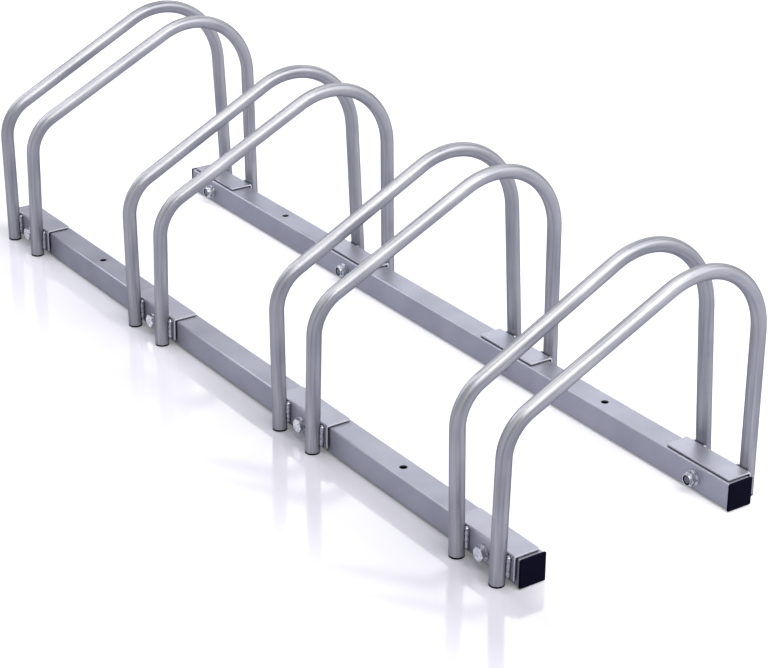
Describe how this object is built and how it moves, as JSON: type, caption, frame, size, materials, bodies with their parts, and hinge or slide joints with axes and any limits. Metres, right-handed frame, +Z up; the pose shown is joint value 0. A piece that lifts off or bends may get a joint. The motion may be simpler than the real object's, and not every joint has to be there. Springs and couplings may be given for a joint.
{
  "type": "floor bike rack",
  "caption": "Low steel rack that stands on the floor: two square rails joined by pairs of bent tube hoops, each pair holding a bicycle wheel upright.",
  "frame": {"origin": "on the floor, in the middle of the rack: halfway between the second and third wheel slots and between the two rails", "axes": "+X to the right along the rails, +Y away from the low front legs towards the rear legs, +Z up; the wheels roll in along +Y"},
  "size_m": [1, 0.3141, 0.2601],
  "materials": {
    "rail_powder_coat": "silver-grey powder coat, satin",
    "hoop_powder_coat": "silver-grey powder coat, semi-gloss",
    "bracket_powder_coat": "silver-grey powder coat, satin",
    "coated_weld_bead": "rippled weld bead under the powder coat",
    "bare_sleeve_steel": "drawn steel tube, bare",
    "bright_zinc_plating": "bright zinc plating",
    "moulded_cap_plastic": "moulded black polyethylene, semi-gloss",
    "moulded_foot_plastic": "moulded black polyethylene, matt",
    "nylon_ring": "moulded nylon"
  },
  "bodies": {
    "root": {"front_rail_long": "rail_powder_coat", "front_rail_short": "rail_powder_coat", "front_rail_sleeve": "bare_sleeve_steel", "rear_rail_long": "rail_powder_coat", "rear_rail_short": "rail_powder_coat", "rear_rail_sleeve": "bare_sleeve_steel", "front_left_cap": "moulded_cap_plastic", "front_right_cap": "moulded_cap_plastic", "rear_left_cap": "moulded_cap_plastic", "rear_right_cap": "moulded_cap_plastic", "hoop_1_left": "hoop_powder_coat", "hoop_1_right": "hoop_powder_coat", "hoop_2_left": "hoop_powder_coat", "hoop_2_right": "hoop_powder_coat", "hoop_3_left": "hoop_powder_coat", "hoop_3_right": "hoop_powder_coat", "hoop_4_left": "hoop_powder_coat", "hoop_4_right": "hoop_powder_coat", "front_bracket_1": "bracket_powder_coat", "front_bracket_2": "bracket_powder_coat", "front_bracket_3": "bracket_powder_coat", "front_bracket_4": "bracket_powder_coat", "rear_bracket_1": "bracket_powder_coat", "rear_bracket_2": "bracket_powder_coat", "rear_bracket_3": "bracket_powder_coat", "rear_bracket_4": "bracket_powder_coat", "front_welds": "coated_weld_bead", "rear_welds": "coated_weld_bead", "front_foot_plugs": "moulded_foot_plastic", "rear_foot_plugs": "moulded_foot_plastic", "front_bolts": "bright_zinc_plating", "rear_bolts": "bright_zinc_plating", "front_outer_washers": "bright_zinc_plating", "rear_outer_washers": "bright_zinc_plating", "front_inner_washers": "bright_zinc_plating", "rear_inner_washers": "bright_zinc_plating", "front_nuts": "bright_zinc_plating", "rear_nuts": "bright_zinc_plating", "front_nut_rings": "nylon_ring", "rear_nut_rings": "nylon_ring"}
  },
  "joints": []
}
